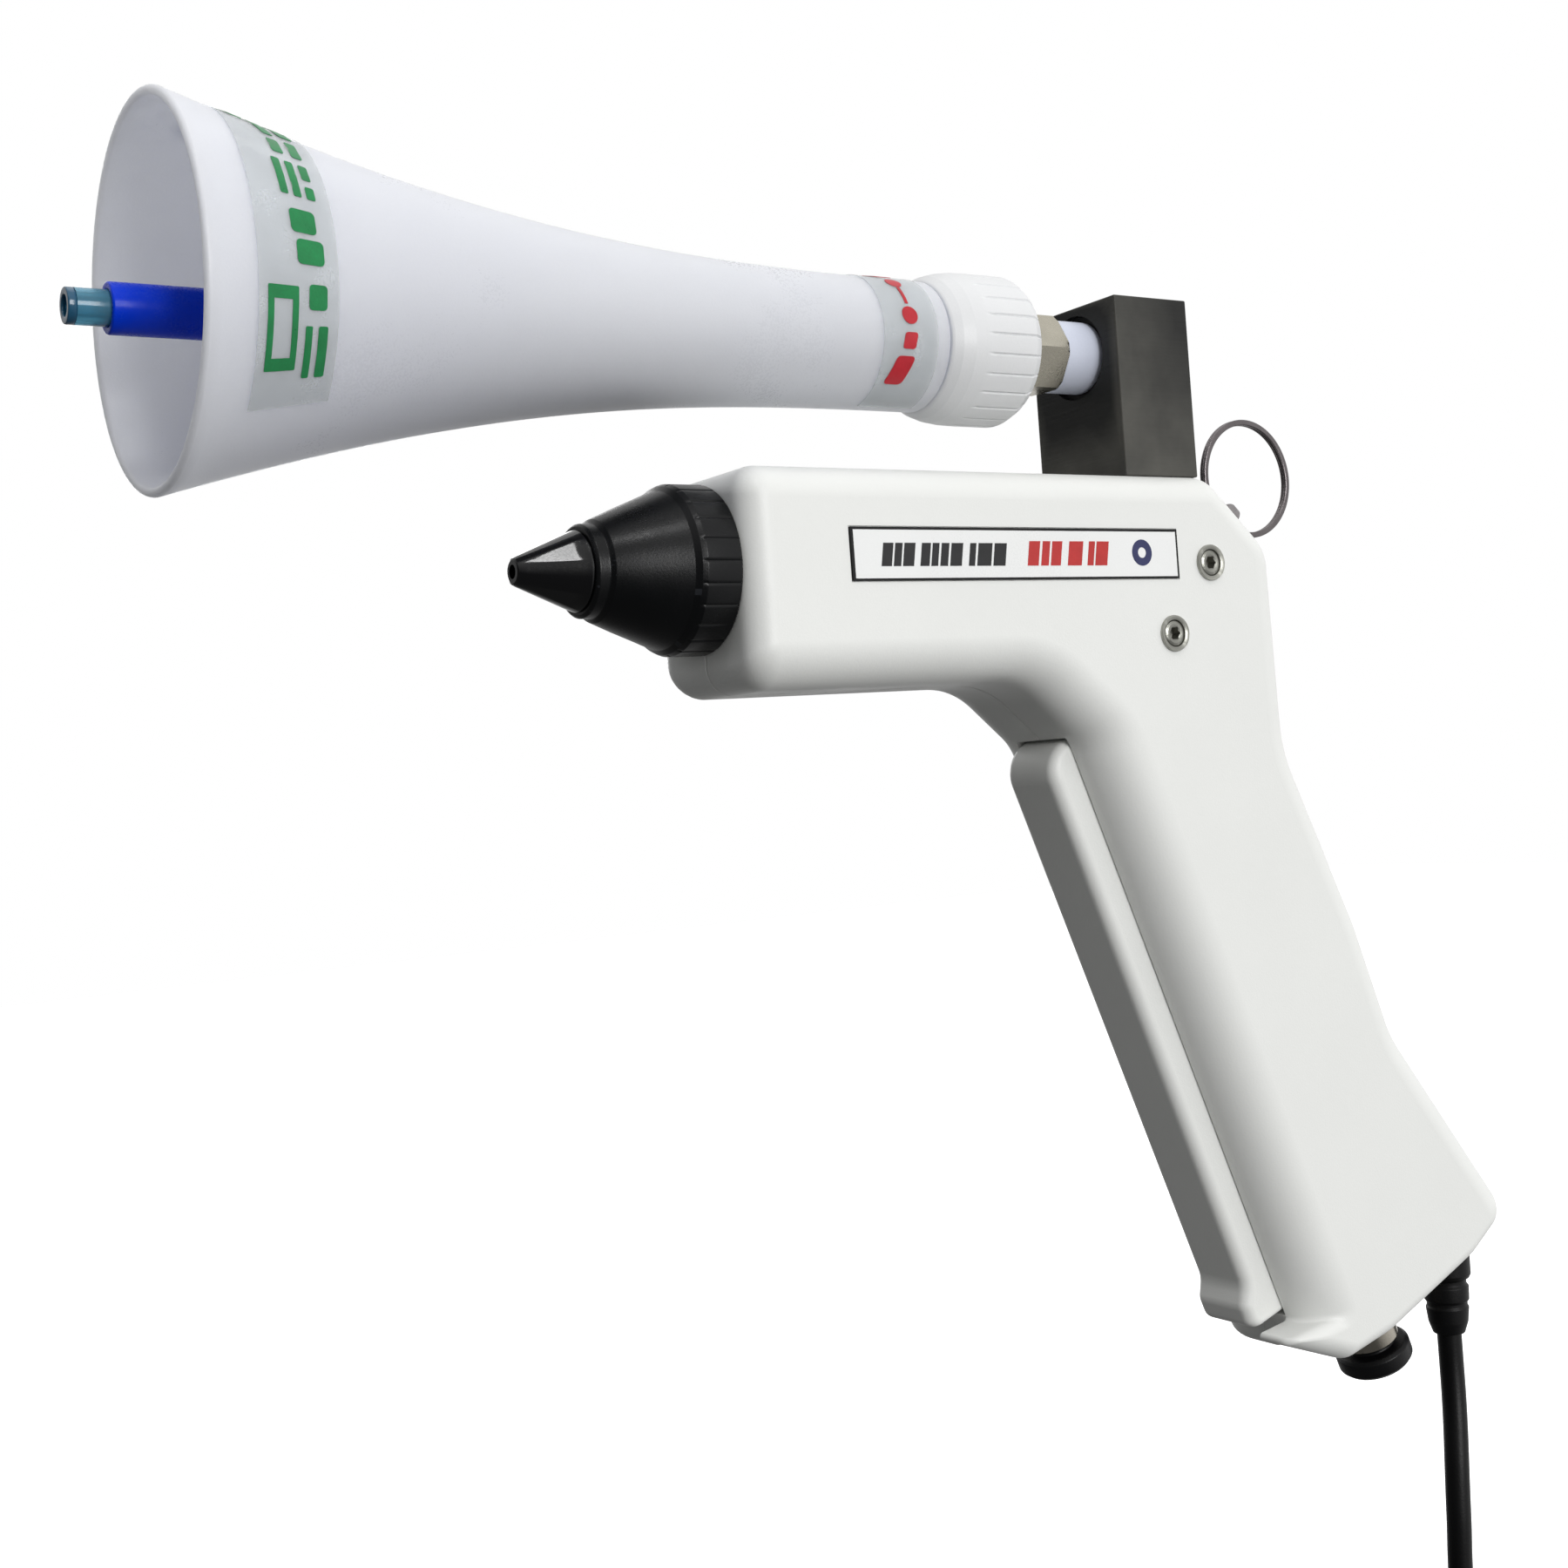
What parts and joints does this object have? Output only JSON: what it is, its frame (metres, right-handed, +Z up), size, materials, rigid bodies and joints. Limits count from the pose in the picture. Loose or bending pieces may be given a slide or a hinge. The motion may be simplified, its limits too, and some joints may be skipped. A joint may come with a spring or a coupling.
{
  "type": "ionising air blow gun with vortex horn",
  "caption": "Pistol-shaped ionising air gun with a paddle trigger, black nose cone and a flared horn with a spinning whip tube above it.",
  "frame": {"origin": "centre of the hand grip, on the gun's middle plane", "axes": "-X towards the nose and the horn's mouth, +Z up, -Y the side with the name plate"},
  "size_m": [0.2887, 0.06, 0.4283],
  "materials": {
    "shell_white": "satin, fine moulded texture",
    "plate_white": "printed label film",
    "zinc_steel": "zinc plated",
    "trigger_white": "satin",
    "ground_steel": "ground",
    "brass": "turned",
    "stainless": "turned",
    "black_rubber": "matt",
    "spring_steel": "drawn wire",
    "black_tube": "nylon tube",
    "black_plastic": "satin",
    "red_plastic": "satin",
    "nickel": "satin nickel plate",
    "aluminium": "milled",
    "block_black": "black anodised, fine grain",
    "spacer_white": "smooth",
    "warm_nickel": "satin nickel on brass",
    "horn_white": "waxy polyethylene",
    "collar_white": "waxy polyethylene",
    "clear_cyan": "clear tube",
    "blue_sleeve": "smooth",
    "dark_cyan": "smooth",
    "label_film": "clear film",
    "nose_black": "satin",
    "tip_black": "gloss",
    "ceramic": "smooth",
    "board_green": "solder mask",
    "potting": "cast resin",
    "red_wire": "silicone",
    "dark_steel": "dull wire",
    "cord_black": "PVC",
    "pin_brass": "nickel flash"
  },
  "bodies": {
    "gun": {"left_body_shell": "shell_white", "right_body_shell": "shell_white", "shell_screws": "zinc_steel", "name_plate": "plate_white", "screw_cups": "zinc_steel", "body_screws": "zinc_steel", "trigger_pin": "ground_steel", "valve_body": "brass", "valve_end_cap": "brass", "supply_tube": "black_tube", "delivery_tube": "black_tube", "microswitch": "black_plastic", "inlet_fitting": "nickel", "inlet_seal": "black_rubber", "air_manifold": "aluminium", "nose_tube": "black_tube", "riser_block": "block_black", "block_screws": "dark_steel", "spacer_sleeve": "spacer_white", "hex_nipple": "warm_nickel", "vortex_horn": "horn_white", "collar_nut": "collar_white", "horn_bush": "brass", "mouth_label": "label_film", "neck_label": "label_film", "nose_cone": "nose_black", "nozzle_tip": "tip_black", "needle_holder": "ceramic", "emitter_needle": "stainless", "high_voltage_module": "potting", "circuit_board": "board_green", "emitter_lead": "red_wire", "power_lead": "cord_black", "ring_lug": "dark_steel", "strain_relief": "cord_black", "power_cord": "cord_black", "cord_coil": "cord_black", "cord_tail": "cord_black", "cord_tie": "black_plastic", "plug_body": "cord_black", "plug_pins": "pin_brass"},
    "trigger": {"trigger": "trigger_white"},
    "valve_plunger": {"valve_stem": "stainless", "valve_seal": "black_rubber", "valve_spring": "spring_steel"},
    "button": {"switch_button": "red_plastic"},
    "release": {"release_ring": "black_plastic"},
    "whip": {"rotor_hub": "aluminium", "whip_tube": "clear_cyan", "whip_sleeve": "blue_sleeve", "whip_end_ring": "dark_cyan"},
    "hanger": {"split_ring": "dark_steel"}
  },
  "joints": [
    {"name": "trigger_hinge", "type": "hinge", "parent": "gun", "child": "trigger", "pos_m": [-0.03738, 0, 0.04858], "axis": [0, -1, 0], "range_deg": [0, 3], "stiffness_Nm_per_rad": 4, "springref_deg": -5.73},
    {"name": "valve_slide", "type": "slide", "parent": "gun", "child": "valve_plunger", "axis": [0.932, 0, 0.3624], "range_m": [0, 0.0036]},
    {"name": "switch_slide", "type": "slide", "parent": "gun", "child": "button", "axis": [0.932, 0, 0.3624], "range_m": [0, 0.00105]},
    {"name": "release_slide", "type": "slide", "parent": "gun", "child": "release", "axis": [-0.3624, 0, 0.932], "range_m": [0, 0.0012], "stiffness_N_per_m": 600, "springref_m": -0.001},
    {"name": "whip_spin", "type": "hinge", "parent": "gun", "child": "whip", "pos_m": [-0.065, 0, 0.1297], "axis": [-1, 0, 0], "continuous": true},
    {"name": "ring_swing", "type": "hinge", "parent": "gun", "child": "hanger", "pos_m": [0.00526, 0, 0.09786], "axis": [0.751, 0, -0.6603], "range_deg": [-80, 80]}
  ],
  "couplings": [
    {"joint": "valve_slide", "follows": "trigger_hinge", "m_per_rad": 0.067},
    {"joint": "switch_slide", "follows": "trigger_hinge", "m_per_rad": 0.019}
  ]
}
